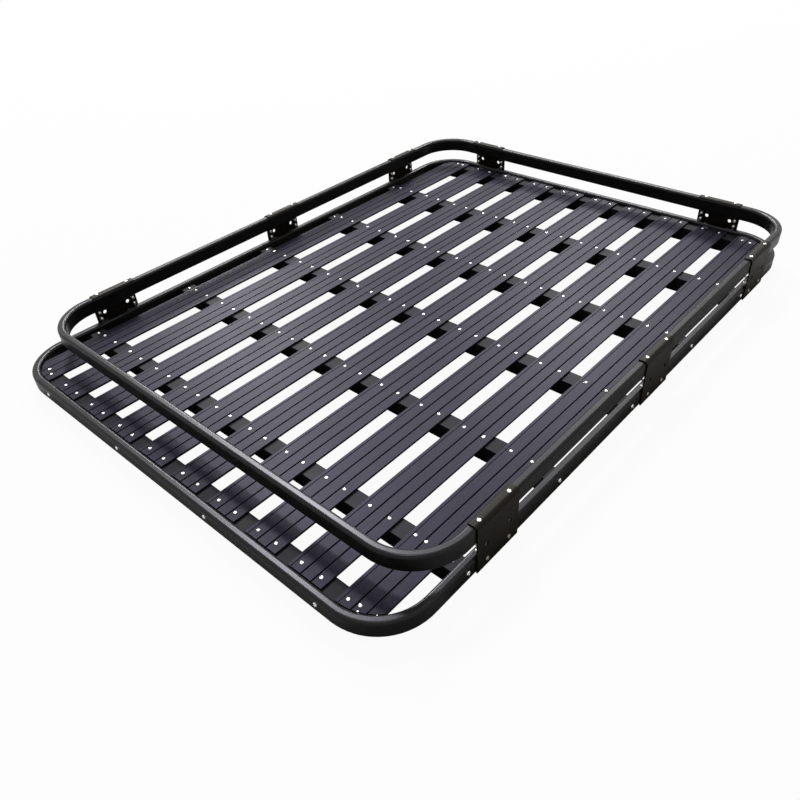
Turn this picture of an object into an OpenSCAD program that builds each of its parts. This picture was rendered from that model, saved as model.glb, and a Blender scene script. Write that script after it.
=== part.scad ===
// Roof rack: a slatted deck in a bent tube frame, with a raised guard rail round it.
// X runs across the rack, Y along it (the front is at -Y), Z is up.
// The origin is the centre of the rack on the plane of the cross bars' undersides.

/* [Deck slats] */
// Number of slats side by side
slat_count = 10; // [6:1:12]
// Distance from one slat's centre to the next
slat_pitch = 120; // [110:1:130]
// Width of a slat with its edge flange
slat_w = 87; // [76:1:100]
// Height of a slat from its feet to its top
slat_h = 5; // [4.5:0.5:8]
// Thickness of a slat's top skin
slat_skin = 2; // [1.5:0.5:3]
// Width of the low flange along a slat's left edge
flange_w = 7.5; // [5:0.5:12]
// Drop of that flange below the slat's top
flange_drop = 1.5; // [0.5:0.25:2]
// Width of the grooves between a slat's ribs
groove_w = 2.6; // [1.5:0.1:4]
// Depth of the grooves
groove_d = 2.6; // [1.8:0.1:3]
// Radius of the ribs' upper edges
rib_r = 0.8; // [0.3:0.1:1]
// Width of the feet under a slat's grooves and its right edge
foot_w = 5.4; // [5:0.2:8]
// Gap between a slat's ends and the frame
slat_end_gap = 3; // [2:0.5:12]
// Gap between the outer slats and the side rails
slat_side_gap = 27.5; // [15:0.5:40]

/* [Cross bars] */
// Distance from one cross bar to the next
bar_pitch = 290; // [240:5:320]
// Distance from the front cross bar to the second one
front_bay = 175; // [120:5:240]
// Number of full bays behind that
bay_count = 5; // [3:1:6]
// Width of a cross bar
bar_w = 40; // [30:1:50]
// Height of a cross bar
bar_h = 40; // [34:1:50]
// Wall of a cross bar
bar_wall = 2; // [1.5:0.5:3]

/* [Rails] */
// Width of the rail tube
rail_w = 20; // [18:1:28]
// Height of the rail tube
rail_h = 40; // [34:1:50]
// Corner radius of the rail tube's section
rail_r = 6.5; // [4:0.5:8]
// Wall of the rail tube
rail_wall = 2; // [1.5:0.5:3]
// Outer radius of the bends at the four corners
bend_r = 125; // [100:1:150]
// Height of the lower rail's underside over the cross bars' undersides
lower_z = 11; // [7:1:15]
// Clear height between the two rails
rail_gap = 36; // [25:1:60]
// Distance of the upper rail's front behind the lower rail's front
setback = 95; // [60:5:150]

/* [Brackets] */
// Thickness of the bracket plate
plate_t = 3; // [2:0.5:4]
// Width of a bracket
plate_w = 122; // [100:2:140]
// Height of a bracket's lower edge over the lower rail's underside
plate_rise = 2; // [0:0.5:6]
// Radius of the two holes through a bracket
hole_r = 5.25; // [3:0.25:6]
// Distance between those holes
hole_pitch = 69; // [50:1:80]
// Distance of the front brackets behind the rack's front
front_bracket = 298; // [260:1:320]
// Distance of the middle brackets behind the rack's front
middle_bracket = 893; // [780:1:920]
// Distance of the rear side brackets ahead of the rack's rear
rear_bracket = 252; // [230:1:290]
// Distance of the two end brackets from the rack's sides
end_bracket = 211; // [190:1:320]

/* [Fits] */
// Clearance between pieces that seat on each other
seat = 0.2; // [0.1:0.05:0.3]

/* [Hidden] */
$fn = 64;
slack = 1;
deck_w = (slat_count - 1) * slat_pitch + slat_w;
rack_w = deck_w + 2 * slat_side_gap + 2 * rail_w;
rack_l = front_bay + bay_count * bar_pitch + bar_w + 2 * rail_w;
front_y = -rack_l / 2;
rear_y = rack_l / 2;
row_0 = front_y + rail_w + bar_w / 2;
rows = concat([row_0], [for (i = [0 : bay_count]) row_0 + front_bay + i * bar_pitch]);
lower_top = lower_z + rail_h;
upper_z = lower_top + rail_gap;
upper_top = upper_z + rail_h;
upper_front = front_y + setback;
front_joint = front_y + front_bracket;
middle_y = front_y + middle_bracket;
rear_joint = rear_y - rear_bracket;
end_x = rack_w / 2 - end_bracket;
rib_pitch = (slat_w - flange_w) / 3;
foot_side = (foot_w - groove_w) / 2;
bracket_spots = [
    ["bracket_left_front", front_joint, "left"],
    ["bracket_left_middle", middle_y, "left"],
    ["bracket_left_rear", rear_joint, "left"],
    ["bracket_right_front", front_joint, "right"],
    ["bracket_right_middle", middle_y, "right"],
    ["bracket_right_rear", rear_joint, "right"],
    ["bracket_rear_left", -end_x, "rear"],
    ["bracket_rear_right", end_x, "rear"]
];
slat_nodes = [for (i = [1 : slat_count]) str("deck_slat_", i)];
bar_nodes = [for (i = [1 : len(rows)]) str("cross_bar_", i)];
rail_nodes = [
    "lower_front_bow", "lower_rear_bow", "lower_left_rail", "lower_right_rail",
    "upper_front_bow", "upper_rear_bow", "upper_left_rail", "upper_right_rail"
];
bracket_nodes = [for (spot = bracket_spots) spot[0]];

// Rectangle with round corners, its lower left corner at the origin
module round_rect(w, h, r) {
    translate([r, 0]) square([w - 2 * r, h]);
    translate([0, r]) square([w, h - 2 * r]);
    for (x = [r, w - r], y = [r, h - r]) translate([x, y]) circle(r);
}

// Section of the rail tube, from its outer face at x = 0 inwards, underside at y = 0
module rail_section() {
    difference() {
        round_rect(rail_w, rail_h, rail_r);
        translate([rail_wall, rail_wall])
            round_rect(rail_w - 2 * rail_wall, rail_h - 2 * rail_wall, rail_r - rail_wall);
    }
}

// Straight tube along +Y from the origin, its outer face on the +X side at x = 0
module rail_run(length) {
    rotate([90, 0, 180]) linear_extrude(length) rail_section();
}

// Quarter bend round the origin, from +X to +Y, its outer radius bend_r
module rail_bend() {
    rotate_extrude(angle = 90) translate([bend_r, 0]) mirror([1, 0]) rail_section();
}

// U-shaped bow: a run along X whose outer face is at y_end, two bends and two arms to y_joint
module bow(y_end, y_joint) {
    arm = abs(y_joint - y_end) - bend_r;
    run = rack_w - 2 * bend_r;
    turn = y_end < y_joint ? 180 : 0;
    translate([0, y_end, 0]) rotate([0, 0, turn]) {
        translate([run / 2, -bend_r, 0]) rail_bend();
        translate([-run / 2, -bend_r, 0]) rotate([0, 0, 90]) rail_bend();
        translate([run / 2, 0, 0]) rotate([0, 0, 90]) rail_run(run);
        translate([rack_w / 2, -bend_r - arm, 0]) rail_run(arm);
        translate([-rack_w / 2, -bend_r - arm, 0]) mirror([1, 0, 0]) rail_run(arm);
    }
}

// Straight side rail from y_from to y_to on the side of the given sign
module side_rail(side, y_from, y_to) {
    scale_x = side < 0 ? 1 : 0;
    translate([side * rack_w / 2, y_from, 0]) mirror([scale_x, 0, 0]) rail_run(y_to - y_from);
}

module lower_front_bow() {
    color("#17181a") translate([0, 0, lower_z]) bow(front_y, front_joint);
}

module lower_rear_bow() {
    color("#17181a") translate([0, 0, lower_z]) bow(rear_y, rear_joint);
}

module lower_side_rail(side) {
    color("#17181a") translate([0, 0, lower_z]) side_rail(side, front_joint, rear_joint);
}

module upper_front_bow() {
    color("#17181a") translate([0, 0, upper_z]) bow(upper_front, front_joint);
}

module upper_rear_bow() {
    color("#17181a") translate([0, 0, upper_z]) bow(rear_y, rear_joint);
}

module upper_side_rail(side) {
    color("#17181a") translate([0, 0, upper_z]) side_rail(side, front_joint, rear_joint);
}

// Outline inside the lower rail, kept the given gap clear of it
module deck_outline(gap) {
    w = rack_w - 2 * rail_w - 2 * gap;
    l = rack_l - 2 * rail_w - 2 * gap;
    translate([-w / 2, -l / 2]) round_rect(w, l, bend_r - rail_w - gap);
}

// Rib of a slat's section, from y = 0 up to h, with round upper edges
module rib(w, h) {
    square([w, h - rib_r]);
    translate([rib_r, 0]) square([w - 2 * rib_r, h]);
    for (x = [rib_r, w - rib_r]) translate([x, h - rib_r]) circle(rib_r, $fn = 24);
}

// Section of a slat: a low flange and three ribs with grooves between them, hollow under the ribs
module slat_section() {
    difference() {
        union() {
            square([slat_w, slat_h - groove_d]);
            rib(flange_w, slat_h - flange_drop);
            for (i = [0 : 2]) translate([flange_w + groove_w + i * rib_pitch, 0])
                rib(rib_pitch - groove_w, slat_h);
        }
        for (i = [0 : 2]) {
            from = flange_w + i * rib_pitch + groove_w + foot_side;
            to = i == 2 ? slat_w - foot_w : flange_w + (i + 1) * rib_pitch - foot_side;
            translate([from, -slack]) square([to - from, slat_h - slat_skin + slack]);
        }
    }
}

module deck_slat(i) {
    x_left = (i - 1 - (slat_count - 1) / 2) * slat_pitch - slat_w / 2;
    color("#2b2c31") translate([0, 0, bar_h]) intersection() {
        translate([x_left, rear_y, 0]) rotate([90, 0, 0]) linear_extrude(rack_l) slat_section();
        translate([0, 0, -slack]) linear_extrude(slat_h + 2 * slack) deck_outline(slat_end_gap);
    }
}

module cross_bar(i) {
    length = rack_w - 2 * rail_w - 2 * seat;
    color("#232428") intersection() {
        translate([-length / 2, rows[i - 1], 0]) rotate([90, 0, 90]) linear_extrude(length)
            translate([-bar_w / 2, 0]) difference() {
                square([bar_w, bar_h]);
                translate([bar_wall, bar_wall]) square([bar_w - 2 * bar_wall, bar_h - 2 * bar_wall]);
            }
        translate([0, 0, -slack]) linear_extrude(bar_h + 2 * slack) deck_outline(seat);
    }
}

// Section of a bracket: down the rails' outer faces and over the upper rail's round top,
// with the rails' outer faces at x = 0 and the inside of the rack on the -X side
module bracket_section() {
    low = lower_z + plate_rise;
    bend = rail_r + seat;
    shoulder_z = upper_top - rail_r;
    translate([seat, low]) square([plate_t, shoulder_z - low]);
    translate([-rail_r, shoulder_z]) intersection() {
        difference() {
            circle(bend + plate_t);
            circle(bend);
        }
        square(bend + plate_t);
    }
    translate([-rail_w + rail_r, upper_top + seat]) square([rail_w - 2 * rail_r, plate_t]);
    translate([-rail_w + rail_r, shoulder_z]) intersection() {
        difference() {
            circle(bend + plate_t);
            circle(bend);
        }
        rotate(45) square(2 * bend);
        translate([-2 * bend, 0]) square(2 * bend);
    }
}

// Bracket centred on y = 0, its rails' outer faces at x = 0
module bracket() {
    hole_z = lower_top + rail_gap / 2;
    color("#151619") difference() {
        translate([0, plate_w / 2, 0]) rotate([90, 0, 0]) linear_extrude(plate_w) bracket_section();
        for (side = [-1, 1]) translate([-slack, side * hole_pitch / 2, hole_z])
            rotate([0, 90, 0]) cylinder(h = plate_t + 2 * slack + seat, r = hole_r);
    }
}

module placed_bracket(spot) {
    along = spot[1];
    if (spot[2] == "right") translate([rack_w / 2, along, 0]) bracket();
    if (spot[2] == "left") translate([-rack_w / 2, along, 0]) mirror([1, 0, 0]) bracket();
    if (spot[2] == "rear") translate([along, rear_y, 0]) rotate([0, 0, 90]) bracket();
}

for (i = [1 : slat_count]) deck_slat(i);
for (i = [1 : len(rows)]) cross_bar(i);
lower_front_bow();
lower_rear_bow();
lower_side_rail(-1);  // lower_left_rail
lower_side_rail(1);  // lower_right_rail
upper_front_bow();
upper_rear_bow();
upper_side_rail(-1);  // upper_left_rail
upper_side_rail(1);  // upper_right_rail
for (spot = bracket_spots) placed_bracket(spot);
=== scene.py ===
import math

import bpy
from mathutils import Matrix, Vector


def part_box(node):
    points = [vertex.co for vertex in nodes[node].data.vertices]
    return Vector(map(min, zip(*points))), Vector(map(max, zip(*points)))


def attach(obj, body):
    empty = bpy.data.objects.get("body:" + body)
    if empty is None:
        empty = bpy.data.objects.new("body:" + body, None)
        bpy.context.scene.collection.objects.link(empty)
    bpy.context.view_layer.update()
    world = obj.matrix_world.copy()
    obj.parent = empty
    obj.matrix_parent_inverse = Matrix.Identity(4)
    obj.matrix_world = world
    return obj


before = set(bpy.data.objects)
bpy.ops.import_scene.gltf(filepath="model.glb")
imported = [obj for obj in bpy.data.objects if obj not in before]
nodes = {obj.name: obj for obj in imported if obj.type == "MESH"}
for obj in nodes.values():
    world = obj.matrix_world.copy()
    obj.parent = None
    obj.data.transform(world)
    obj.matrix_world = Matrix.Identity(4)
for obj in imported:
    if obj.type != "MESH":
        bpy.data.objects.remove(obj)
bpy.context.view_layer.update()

scene = bpy.context.scene


# The view: the rack seen from its front right corner, from above and close to, with the
# camera held a little off level. The place and the lens were fitted to the deck's screws.
eye = Vector((1.1223, -1.2783, 1.0665))
look = Vector((-0.5467, 0.5589, -0.6235)).normalized()
tilt = math.radians(-4.049)
level_right = look.cross(Vector((0, 0, 1))).normalized()
level_up = level_right.cross(look)
right = math.cos(tilt) * level_right + math.sin(tilt) * level_up
up = right.cross(look)

camera_data = bpy.data.cameras.new("camera")
camera_data.sensor_width = 36.0
camera_data.lens = 33.0
camera_data.clip_start = 0.05
camera_data.clip_end = 100.0
camera = bpy.data.objects.new("camera", camera_data)
camera.matrix_world = Matrix((
    (right.x, up.x, -look.x, eye.x),
    (right.y, up.y, -look.y, eye.y),
    (right.z, up.z, -look.z, eye.z),
    (0, 0, 0, 1),
))
scene.collection.objects.link(camera)
scene.camera = camera
scene.view_settings.view_transform = "Standard"


# The studio: a wide painted floor under the rack and a white surround. The camera sees the floor
# nearly as white as the surround, so that the deck's gaps stay white, and with a faint shadow. In
# reflections the floor is plain pale grey paint under the lamps, with the rack's shadow on it.
def linear(code):
    """Linear colour of an sRGB hex code such as #202020."""
    shares = [int(code[i:i + 2], 16) / 255 for i in (1, 3, 5)]
    return tuple(c / 12.92 if c <= 0.04045 else ((c + 0.055) / 1.055) ** 2.4 for c in shares) + (1.0,)


def put(tree, kind, settings=None, links=None):
    """Adds a node to a tree, sets its settings or sockets by name or number, and links its inputs."""
    made = tree.nodes.new(kind)
    for key, value in (settings or {}).items():
        if isinstance(key, int) or key in made.inputs:
            made.inputs[key].default_value = value
        else:
            setattr(made, key, value)
    for key, source in (links or {}).items():
        tree.links.new(source, made.inputs[key])
    return made


def blank_material(name):
    """A new material and its node tree, emptied."""
    material = bpy.data.materials.new(name)
    material.use_nodes = True
    material.node_tree.nodes.clear()
    return material, material.node_tree


def seen_outright(tree, ray):
    """1 for camera, glossy and transmission rays and 0 for the rest, as a socket to link from."""
    two = put(tree, "ShaderNodeMath", {"operation": "ADD", "use_clamp": True},
              {0: ray.outputs["Is Camera Ray"], 1: ray.outputs["Is Glossy Ray"]})
    three = put(tree, "ShaderNodeMath", {"operation": "ADD", "use_clamp": True},
                {0: two.outputs[0], 1: ray.outputs["Is Transmission Ray"]})
    return three.outputs[0]


# Of what the camera sees of the floor, this share is lit paint, which carries the faint shadow.
paint_share = 0.05
floor_white, tree = blank_material("studio_floor_white")
ray = put(tree, "ShaderNodeLightPath")
painted = put(tree, "ShaderNodeBsdfDiffuse", {"Color": linear("#c4c4c4")})
bounce = put(tree, "ShaderNodeBsdfDiffuse", {"Color": linear("#909090")})
glow = put(tree, "ShaderNodeEmission", {"Color": (1, 1, 1, 1), "Strength": 1.0})
shade = put(tree, "ShaderNodeMapRange", {"To Min": 1.0, "To Max": paint_share},
            {"Value": ray.outputs["Is Camera Ray"]})
bright = put(tree, "ShaderNodeMixShader", {},
             {"Fac": shade.outputs[0], 1: glow.outputs[0], 2: painted.outputs[0]})
both = put(tree, "ShaderNodeMixShader", {},
           {"Fac": seen_outright(tree, ray), 1: bounce.outputs[0], 2: bright.outputs[0]})
put(tree, "ShaderNodeOutputMaterial", {}, {"Surface": both.outputs[0]})

reach = 40.0
drop = 0.0005  # keeps the floor clear of the cross bars' undersides
floor_mesh = bpy.data.meshes.new("floor")
floor_mesh.from_pydata([(-reach, -reach, 0), (reach, -reach, 0), (reach, reach, 0), (-reach, reach, 0)],
                       [], [(0, 1, 2, 3)])
floor_mesh.materials.append(floor_white)
floor = bpy.data.objects.new("floor", floor_mesh)
floor.location.z = -drop
scene.collection.objects.link(floor)

# The surround is white to look at and in reflections, and adds only a little light of its own.
fill_light = 0.12
world = bpy.data.worlds.new("studio_surround")
world.use_nodes = True
tree = world.node_tree
tree.nodes.clear()
ray = put(tree, "ShaderNodeLightPath")
level = put(tree, "ShaderNodeMapRange", {"To Min": fill_light, "To Max": 1.0},
            {"Value": seen_outright(tree, ray)})
air = put(tree, "ShaderNodeBackground", {"Color": (1, 1, 1, 1)}, {"Strength": level.outputs[0]})
put(tree, "ShaderNodeOutputWorld", {}, {"Surface": air.outputs[0]})
scene.world = world


# Four lamps far off. As the shadows of the guard rail tell, one is overhead, one on the left and
# one behind, both of these at a height of about thirty-five degrees. The fourth stands between
# them at fifty degrees and makes the sheen on the front tubes. (name, towards, width, watts)
lamp_distance = 12.0
for name, towards, width, watts in (
    ("overhead_lamp", (-0.11, -0.04, 1.0), 1.2, 260.0),
    ("left_lamp", (-1.40, 0.78, 1.0), 1.8, 470.0),
    ("rear_lamp", (-0.58, 1.20, 1.0), 2.2, 620.0),
    ("sheen_lamp", (-0.72, 0.43, 1.0), 1.6, 900.0),
):
    lamp_data = bpy.data.lights.new(name, "AREA")
    lamp_data.shape = "SQUARE"
    lamp_data.size = width
    lamp_data.energy = watts
    lamp = bpy.data.objects.new(name, lamp_data)
    lamp.location = lamp_distance * Vector(towards).normalized()
    lamp.rotation_euler = (-lamp.location).to_track_quat("-Z", "Y").to_euler()
    lamp.visible_camera = False
    scene.collection.objects.link(lamp)


# The two tube loops: round-shouldered aluminium tube bent cold to its corners, four lengths to a
# loop, blasted and powder coated black with a fine sandy grain. The bent bows come out smoother
# than the straight rails, so that their crowns shine.
powder_ior = 1.5
noise_span = {"From Min": 0.3, "From Max": 0.7}  # what a noise texture mostly stays within
sand_scale = 520.0  # 2 mm: the real grain is 0.5 mm and is drawn coarser, so that it shows
for coat_name, roughest, smoothest, shine, grit, lengths in (
    ("black_sand_powder_coat", 0.46, 0.41, 0.18, 0.35,
     ("lower_left_rail", "lower_right_rail", "upper_left_rail", "upper_right_rail")),
    ("black_sand_powder_coat_on_bends", 0.31, 0.28, 0.24, 0.2,
     ("lower_front_bow", "lower_rear_bow", "upper_front_bow", "upper_rear_bow")),
):
    tube_coat, tree = blank_material(coat_name)
    place = put(tree, "ShaderNodeTexCoord")
    grain = put(tree, "ShaderNodeTexNoise", {"Scale": sand_scale, "Detail": 3.0, "Roughness": 0.6},
                {"Vector": place.outputs["Object"]})
    cloud = put(tree, "ShaderNodeTexNoise", {"Scale": 7.0, "Detail": 4.0, "Roughness": 0.55},
                {"Vector": place.outputs["Object"]})
    fleck = put(tree, "ShaderNodeMapRange", {"From Min": 0.35, "From Max": 0.75}, {"Value": grain.outputs[0]})
    tone = put(tree, "ShaderNodeMix", {"data_type": "RGBA", 6: linear("#0e0d0a"), 7: linear("#1e1b15")},
               {0: fleck.outputs[0]})
    gloss = put(tree, "ShaderNodeMapRange", {**noise_span, "To Min": smoothest, "To Max": roughest},
                {"Value": cloud.outputs[0]})
    relief = put(tree, "ShaderNodeBump", {"Strength": grit, "Distance": 0.0004}, {"Height": grain.outputs[0]})
    coat = put(tree, "ShaderNodeBsdfPrincipled",
               {"IOR": powder_ior, "Specular IOR Level": shine, "Specular Tint": linear("#efeeff")},
               {"Base Color": tone.outputs[2], "Roughness": gloss.outputs[0], "Normal": relief.outputs[0]})
    put(tree, "ShaderNodeOutputMaterial", {}, {"Surface": coat.outputs[0]})
    for name in lengths:
        for socket in nodes[name].material_slots:
            socket.material = tube_coat


# The brackets: laser-cut aluminium plate folded down both rails' outer faces and over the guard
# rail's crown. They are coated with the same black powder, in a smoother and duller batch.
plate_coat, tree = blank_material("black_satin_powder_coat")
place = put(tree, "ShaderNodeTexCoord")
grain = put(tree, "ShaderNodeTexNoise", {"Scale": 640.0, "Detail": 2.0}, {"Vector": place.outputs["Object"]})
cloud = put(tree, "ShaderNodeTexNoise", {"Scale": 14.0, "Detail": 3.0}, {"Vector": place.outputs["Object"]})
tone = put(tree, "ShaderNodeMix", {"data_type": "RGBA", 6: linear("#14110a"), 7: linear("#221d12")},
           {0: cloud.outputs[0]})
relief = put(tree, "ShaderNodeBump", {"Strength": 0.2, "Distance": 0.0003}, {"Height": grain.outputs[0]})
gloss = put(tree, "ShaderNodeMapRange", {**noise_span, "To Min": 0.40, "To Max": 0.50},
            {"Value": cloud.outputs[0]})
coat = put(tree, "ShaderNodeBsdfPrincipled", {"IOR": powder_ior, "Specular IOR Level": 0.10},
           {"Base Color": tone.outputs[2], "Roughness": gloss.outputs[0], "Normal": relief.outputs[0]})
put(tree, "ShaderNodeOutputMaterial", {}, {"Surface": coat.outputs[0]})

brackets = sorted(name for name in nodes if name.startswith("bracket_"))
for name in brackets:
    for socket in nodes[name].material_slots:
        socket.material = plate_coat


# The cross bars: square aluminium tube let in between the side rails under the slats. They are
# coated charcoal, even and matt, and little light reaches their sides.
bar_count = 7
bar_coat, tree = blank_material("charcoal_matt_powder_coat")
place = put(tree, "ShaderNodeTexCoord")
grain = put(tree, "ShaderNodeTexNoise", {"Scale": 480.0, "Detail": 3.0}, {"Vector": place.outputs["Object"]})
cloud = put(tree, "ShaderNodeTexNoise", {"Scale": 11.0, "Detail": 3.0}, {"Vector": place.outputs["Object"]})
tone = put(tree, "ShaderNodeMix", {"data_type": "RGBA", 6: linear("#1f1f23"), 7: linear("#33333a")},
           {0: grain.outputs[0]})
gloss = put(tree, "ShaderNodeMapRange", {**noise_span, "To Min": 0.42, "To Max": 0.52},
            {"Value": cloud.outputs[0]})
relief = put(tree, "ShaderNodeBump", {"Strength": 0.2, "Distance": 0.0003}, {"Height": grain.outputs[0]})
coat = put(tree, "ShaderNodeBsdfPrincipled", {"IOR": powder_ior, "Specular IOR Level": 0.05},
           {"Base Color": tone.outputs[2], "Roughness": gloss.outputs[0], "Normal": relief.outputs[0]})
put(tree, "ShaderNodeOutputMaterial", {}, {"Surface": coat.outputs[0]})

bars = [f"cross_bar_{i + 1}" for i in range(bar_count)]
for name in bars:
    for socket in nodes[name].material_slots:
        socket.material = bar_coat


# The deck slats: ribbed aluminium extrusions with a low flange on the left edge, coated dark
# slate. The die leaves faint streaks along them, and the coat has a cool satin sheen.
slat_count = 10
slat_coat, tree = blank_material("slate_satin_coat_on_extrusion")
place = put(tree, "ShaderNodeTexCoord")
draw_out = 0.03  # the streaks are some thirty times as long as they are wide
along = put(tree, "ShaderNodeMapping", {"Scale": (1.0, draw_out, 1.0)}, {"Vector": place.outputs["Object"]})
streak = put(tree, "ShaderNodeTexNoise", {"Scale": 420.0, "Detail": 3.0, "Roughness": 0.6},
             {"Vector": along.outputs[0]})
grain = put(tree, "ShaderNodeTexNoise", {"Scale": 460.0, "Detail": 3.0, "Roughness": 0.65},
            {"Vector": place.outputs["Object"]})
cloud = put(tree, "ShaderNodeTexNoise", {"Scale": 5.0, "Detail": 4.0}, {"Vector": place.outputs["Object"]})
mixed = put(tree, "ShaderNodeMath", {"operation": "MULTIPLY_ADD", 1: 0.5},
            {0: streak.outputs[0], 2: grain.outputs[0]})
fleck = put(tree, "ShaderNodeMapRange", {"From Min": 0.58, "From Max": 0.92}, {"Value": mixed.outputs[0]})
tone = put(tree, "ShaderNodeMix", {"data_type": "RGBA", 6: linear("#1d1b23"), 7: linear("#33313f")},
           {0: fleck.outputs[0]})
gloss = put(tree, "ShaderNodeMapRange", {**noise_span, "To Min": 0.40, "To Max": 0.44},
            {"Value": cloud.outputs[0]})
relief = put(tree, "ShaderNodeBump", {"Strength": 0.25, "Distance": 0.0003}, {"Height": mixed.outputs[0]})
coat = put(tree, "ShaderNodeBsdfPrincipled",
           {"IOR": powder_ior, "Specular IOR Level": 0.09, "Specular Tint": linear("#e2dcff")},
           {"Base Color": tone.outputs[2], "Roughness": gloss.outputs[0], "Normal": relief.outputs[0]})
put(tree, "ShaderNodeOutputMaterial", {}, {"Surface": coat.outputs[0]})

slats = [f"deck_slat_{i + 1}" for i in range(slat_count)]
for name in slats:
    for socket in nodes[name].material_slots:
        socket.material = slat_coat


# The deck screws: stainless button heads, two where a slat crosses a bar. On the two outer slats
# those of the end bars stand closer together, because the frame's bends cut the slats there.
stainless, tree = blank_material("stainless_steel_turned")
place = put(tree, "ShaderNodeTexCoord")
tarnish = put(tree, "ShaderNodeTexNoise", {"Scale": 300.0, "Detail": 2.0},
              {"Vector": place.outputs["Object"]})
gloss = put(tree, "ShaderNodeMapRange", {**noise_span, "To Min": 0.22, "To Max": 0.34},
            {"Value": tarnish.outputs[0]})
tone = put(tree, "ShaderNodeMix", {"data_type": "RGBA", 6: linear("#e4e4e2"), 7: linear("#f4f3f0")},
           {0: tarnish.outputs[0]})
steel = put(tree, "ShaderNodeBsdfPrincipled", {"Metallic": 1.0},
            {"Base Color": tone.outputs[2], "Roughness": gloss.outputs[0]})
put(tree, "ShaderNodeOutputMaterial", {}, {"Surface": steel.outputs[0]})

# The tree sets a button head on each point, square to the surface there: a ball drawn out to the
# head's radius and height, its lower half pressed flat, with the key socket sunk in its top.
socket_from = 0.9  # the faces above this share of the head's height make the socket
button_heads = bpy.data.node_groups.new("button_heads", "GeometryNodeTree")
for name, kind in (("Points", "NodeSocketGeometry"), ("Head Radius", "NodeSocketFloat"),
                   ("Head Height", "NodeSocketFloat"), ("Socket Depth", "NodeSocketFloat"),
                   ("Sides", "NodeSocketInt"), ("Finish", "NodeSocketMaterial")):
    button_heads.interface.new_socket(name=name, in_out="INPUT", socket_type=kind)
button_heads.interface.new_socket(name="Heads", in_out="OUTPUT", socket_type="NodeSocketGeometry")
given = put(button_heads, "NodeGroupInput")
ball = put(button_heads, "GeometryNodeMeshUVSphere", {"Rings": 8, "Radius": 1.0},
           {"Segments": given.outputs["Sides"]})
stretch = put(button_heads, "ShaderNodeCombineXYZ", {},
              {"X": given.outputs["Head Radius"], "Y": given.outputs["Head Radius"],
               "Z": given.outputs["Head Height"]})
drawn = put(button_heads, "GeometryNodeTransform", {},
            {"Geometry": ball.outputs["Mesh"], "Scale": stretch.outputs[0]})
where = put(button_heads, "GeometryNodeInputPosition")
parts = put(button_heads, "ShaderNodeSeparateXYZ", {}, {"Vector": where.outputs[0]})
low = put(button_heads, "FunctionNodeCompare", {"data_type": "FLOAT", "operation": "LESS_THAN", 1: 0.0},
          {0: parts.outputs["Z"]})
flat = put(button_heads, "ShaderNodeCombineXYZ", {"Z": 0.0},
           {"X": parts.outputs["X"], "Y": parts.outputs["Y"]})
pressed = put(button_heads, "GeometryNodeSetPosition", {},
              {"Geometry": drawn.outputs[0], "Selection": low.outputs[0], "Position": flat.outputs[0]})
cap_height = put(button_heads, "ShaderNodeMath", {"operation": "MULTIPLY", 1: socket_from},
                 {0: given.outputs["Head Height"]})
cap = put(button_heads, "FunctionNodeCompare", {"data_type": "FLOAT", "operation": "GREATER_THAN"},
          {0: parts.outputs["Z"], 1: cap_height.outputs[0]})
down = put(button_heads, "ShaderNodeCombineXYZ", {"Z": -1.0})
sunk = put(button_heads, "GeometryNodeExtrudeMesh", {"mode": "FACES", "Individual": False},
           {"Mesh": pressed.outputs[0], "Selection": cap.outputs[0], "Offset": down.outputs[0],
            "Offset Scale": given.outputs["Socket Depth"]})
facing = put(button_heads, "GeometryNodeInputNamedAttribute",
             {"data_type": "FLOAT_VECTOR", "Name": "outward"})
turned = put(button_heads, "FunctionNodeAlignRotationToVector", {"axis": "Z"},
             {"Vector": facing.outputs[0]})
share = put(button_heads, "GeometryNodeInputNamedAttribute", {"data_type": "FLOAT", "Name": "share"})
placed = put(button_heads, "GeometryNodeInstanceOnPoints", {},
             {"Points": given.outputs["Points"], "Instance": sunk.outputs["Mesh"],
              "Rotation": turned.outputs[0], "Scale": share.outputs[0]})
real = put(button_heads, "GeometryNodeRealizeInstances", {}, {"Geometry": placed.outputs[0]})
soft = put(button_heads, "GeometryNodeSetShadeSmooth", {}, {"Geometry": real.outputs[0]})
done = put(button_heads, "GeometryNodeSetMaterial", {},
           {"Geometry": soft.outputs[0], "Material": given.outputs["Finish"]})
put(button_heads, "NodeGroupOutput", {}, {"Heads": done.outputs[0]})


def fasten(name, group, spots, settings):
    """Runs a tree on spots of (place, outward direction, share of full size) and keeps its plain mesh."""
    points = bpy.data.meshes.new(name + "_points")
    points.from_pydata([spot[0] for spot in spots], [], [])
    points.attributes.new("outward", "FLOAT_VECTOR", "POINT").data.foreach_set(
        "vector", [c for spot in spots for c in spot[1]])
    points.attributes.new("share", "FLOAT", "POINT").data.foreach_set("value", [spot[2] for spot in spots])
    made = bpy.data.objects.new(name, points)
    scene.collection.objects.link(made)
    modifier = made.modifiers.new("tree", "NODES")
    modifier.node_group = group
    for item in group.interface.items_tree:
        if item.in_out == "INPUT" and item.name in settings:
            modifier[item.identifier] = settings[item.name]
    plain = bpy.data.meshes.new_from_object(made.evaluated_get(bpy.context.evaluated_depsgraph_get()))
    made.modifiers.remove(modifier)
    made.data = plain
    plain.name = name
    bpy.data.meshes.remove(points)
    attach(made, "root")


deck_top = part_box("deck_slat_5")[1].z
bar_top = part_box("cross_bar_4")[1].z
row_y = [(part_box(name)[0].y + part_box(name)[1].y) / 2 for name in bars]
pair_from_edge = 0.045  # from the slat's left edge, its flange, to the middle of a pair
pair_half = 0.0253

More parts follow.
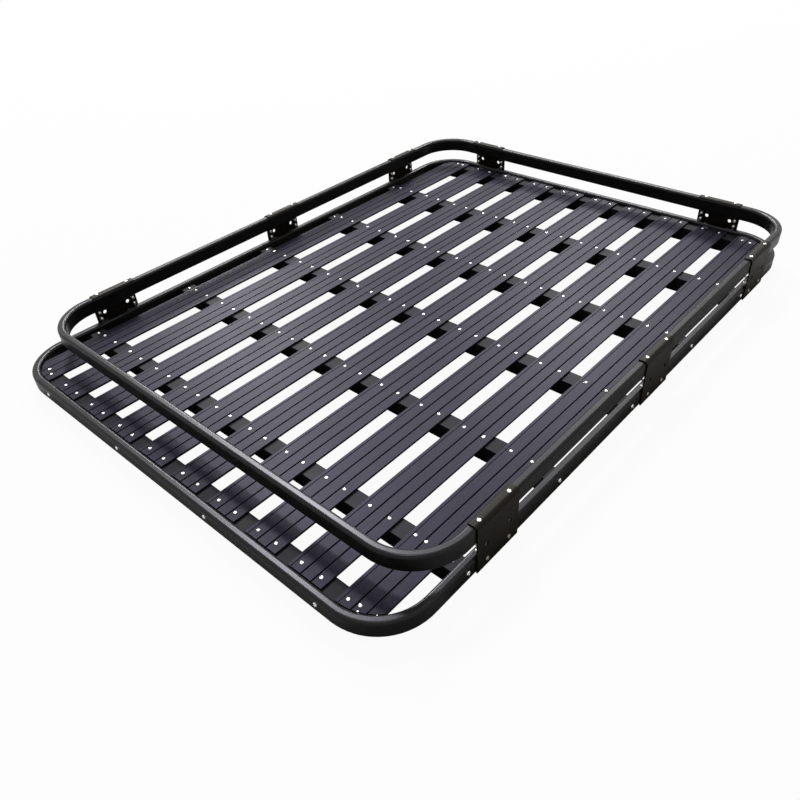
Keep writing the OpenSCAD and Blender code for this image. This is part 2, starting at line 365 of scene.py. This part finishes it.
# Crossings whose screws stand elsewhere, as (slat, row): places across the rack and off the row.
end_spots = {
    ("deck_slat_10", 0): ((0.5145, -0.002), (0.539, 0.002)),
    ("deck_slat_1", 0): ((-0.539, 0.007), (-0.516, 0.0)),
    ("deck_slat_10", 6): ((0.519, -0.009), (0.543, -0.014)),
    ("deck_slat_1", 6): ((-0.537, 0.0), (-0.515, 0.0)),
    ("deck_slat_10", 1): ((0.511, 0.0), (0.536, 0.0), (0.560, 0.0)),
}
deck_spots = []
for name in slats:
    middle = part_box(name)[0].x + pair_from_edge
    for row, y in enumerate(row_y):
        pair = ((middle - pair_half, 0.0), (middle + pair_half, 0.0))
        for x, shift in end_spots.get((name, row), pair):
            deck_spots.append(((x, y + shift, deck_top), (0, 0, 1), 1.0))

# Two small rivets beside the pair at the front right corner, as (x, y, share of a screw's size).
for x, y, share in ((0.5434, -0.8215, 0.55), (0.5735, -0.8065, 0.4)):
    deck_spots.append(((x, y, deck_top), (0, 0, 1), share))

button_m4 = {"Head Radius": 0.0041, "Head Height": 0.0023, "Socket Depth": 0.0011, "Sides": 12,
             "Finish": stainless}
fasten("deck_screws", button_heads, deck_spots, button_m4)


# The screws at the bars' ends: one in the top of each bar, in the gap between the outer slat
# and the side rail. The two end bars have none, because the slats run over them there.
bar_end_x = 0.597
inner_rows = row_y[1:-1]
fasten("bar_end_screws", button_heads,
       [((side * bar_end_x, y, bar_top), (0, 0, 1), 1.0) for y in inner_rows for side in (-1, 1)], button_m4)


# The rail bolts: stainless button heads through the lower rail's outer face into each bar's end,
# and four along the front and the rear into the end bars.
button_m6 = {"Head Radius": 0.0053, "Head Height": 0.0030, "Socket Depth": 0.0014, "Sides": 12,
             "Finish": stainless}
rail_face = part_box("lower_right_rail")[1].x
bow_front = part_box("lower_front_bow")[0].y
bow_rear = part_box("lower_rear_bow")[1].y
bolt_z = 0.0335
bow_bolt_x = (-0.460, -0.156, 0.158, 0.472)
bolt_spots = [((side * rail_face, y, bolt_z), (side, 0, 0), 1.0) for y in inner_rows for side in (-1, 1)]
for x in bow_bolt_x:
    bolt_spots.append(((x, bow_front, bolt_z), (0, -1, 0), 1.0))
    bolt_spots.append(((x, bow_rear, bolt_z), (0, 1, 0), 1.0))
fasten("rail_bolts", button_heads, bolt_spots, button_m6)


# The brackets' fasteners: two button heads down into the guard rail's crown, two dulled zinc-plated
# bolts into the lower rail's face, and at each edge two pressed-in studs with nuts on the inside.
crown_half = 0.0435  # half the spacing along the bracket, as for the bolts and the studs
bolt_half = 0.0325
stud_half = 0.0505
plate_bolt_z = 0.0285
stud_heights = (0.0570, 0.0740)
plate_thickness = 0.003
crown_inset = 0.008  # from the rail's outer face in to the crown screws
crown_seat = 0.0003  # the heads are let down this far, because the crown falls off round them
crown_spots, plate_spots, stud_spots = [], [], []
for name in brackets:
    low_corner, high_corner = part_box(name)
    centre = (low_corner + high_corner) / 2
    top = high_corner.z - crown_seat
    if name.startswith("bracket_rear"):
        out, run, face = Vector((0, 1, 0)), Vector((1, 0, 0)), Vector((centre.x, high_corner.y, 0))
        crown = Vector((centre.x, bow_rear - crown_inset, top))
    else:
        side = 1 if centre.x > 0 else -1
        face_x = high_corner.x if side > 0 else low_corner.x
        out, run, face = Vector((side, 0, 0)), Vector((0, 1, 0)), Vector((face_x, centre.y, 0))
        crown = Vector((side * (rail_face - crown_inset), centre.y, top))
    for way in (-1, 1):
        crown_spots.append((crown + way * crown_half * run, (0, 0, 1), 1.0))
        plate_spots.append((face + way * bolt_half * run + Vector((0, 0, plate_bolt_z)), out, 1.0))
        inside = face - plate_thickness * out + way * stud_half * run
        for height in stud_heights:
            stud_spots.append((inside + Vector((0, 0, height)), -out, 1.0))
fasten("crown_screws", button_heads, crown_spots, dict(button_m4, **{"Head Radius": 0.0044}))

# The bolts' zinc has gone dull and a little yellow, as plating does outdoors.
zinc, tree = blank_material("zinc_plated_steel_dulled")
place = put(tree, "ShaderNodeTexCoord")
bloom = put(tree, "ShaderNodeTexNoise", {"Scale": 420.0, "Detail": 3.0}, {"Vector": place.outputs["Object"]})
gloss = put(tree, "ShaderNodeMapRange", {**noise_span, "To Min": 0.42, "To Max": 0.58},
            {"Value": bloom.outputs[0]})
tone = put(tree, "ShaderNodeMix", {"data_type": "RGBA", 6: linear("#8e8678"), 7: linear("#b4ac9c")},
           {0: bloom.outputs[0]})
steel = put(tree, "ShaderNodeBsdfPrincipled", {"Metallic": 1.0},
            {"Base Color": tone.outputs[2], "Roughness": gloss.outputs[0]})
put(tree, "ShaderNodeOutputMaterial", {}, {"Surface": steel.outputs[0]})
fasten("bracket_bolts", button_heads, plate_spots,
       dict(button_m6, **{"Head Radius": 0.0048, "Head Height": 0.0024, "Finish": zinc}))

# The stud tree sets on each point a plain hexagon nut and the stud's end standing out of it.
studs = bpy.data.node_groups.new("studs_with_nuts", "GeometryNodeTree")
for name, kind in (("Points", "NodeSocketGeometry"), ("Nut Radius", "NodeSocketFloat"),
                   ("Nut Height", "NodeSocketFloat"), ("Stud Radius", "NodeSocketFloat"),
                   ("Stud Length", "NodeSocketFloat"), ("Finish", "NodeSocketMaterial")):
    studs.interface.new_socket(name=name, in_out="INPUT", socket_type=kind)
studs.interface.new_socket(name="Studs", in_out="OUTPUT", socket_type="NodeSocketGeometry")
given = put(studs, "NodeGroupInput")
nut = put(studs, "GeometryNodeMeshCylinder", {"Vertices": 6},
          {"Radius": given.outputs["Nut Radius"], "Depth": given.outputs["Nut Height"]})
shank = put(studs, "GeometryNodeMeshCylinder", {"Vertices": 12},
            {"Radius": given.outputs["Stud Radius"], "Depth": given.outputs["Stud Length"]})
lifted = []
for body, height in ((nut, given.outputs["Nut Height"]), (shank, given.outputs["Stud Length"])):
    half = put(studs, "ShaderNodeMath", {"operation": "MULTIPLY", 1: 0.5}, {0: height})
    rise = put(studs, "ShaderNodeCombineXYZ", {}, {"Z": half.outputs[0]})
    lifted.append(put(studs, "GeometryNodeTransform", {},
                      {"Geometry": body.outputs["Mesh"], "Translation": rise.outputs[0]}))
joined = put(studs, "GeometryNodeJoinGeometry")
for part in lifted:
    studs.links.new(part.outputs[0], joined.inputs[0])
facing = put(studs, "GeometryNodeInputNamedAttribute", {"data_type": "FLOAT_VECTOR", "Name": "outward"})
turned = put(studs, "FunctionNodeAlignRotationToVector", {"axis": "Z"}, {"Vector": facing.outputs[0]})
placed = put(studs, "GeometryNodeInstanceOnPoints", {},
             {"Points": given.outputs["Points"], "Instance": joined.outputs[0],
              "Rotation": turned.outputs[0]})
real = put(studs, "GeometryNodeRealizeInstances", {}, {"Geometry": placed.outputs[0]})
done = put(studs, "GeometryNodeSetMaterial", {},
           {"Geometry": real.outputs[0], "Material": given.outputs["Finish"]})
put(studs, "NodeGroupOutput", {}, {"Studs": done.outputs[0]})
fasten("bracket_studs", studs, stud_spots,
       {"Nut Radius": 0.0050, "Nut Height": 0.0045, "Stud Radius": 0.0025, "Stud Length": 0.0095,
        "Finish": stainless})
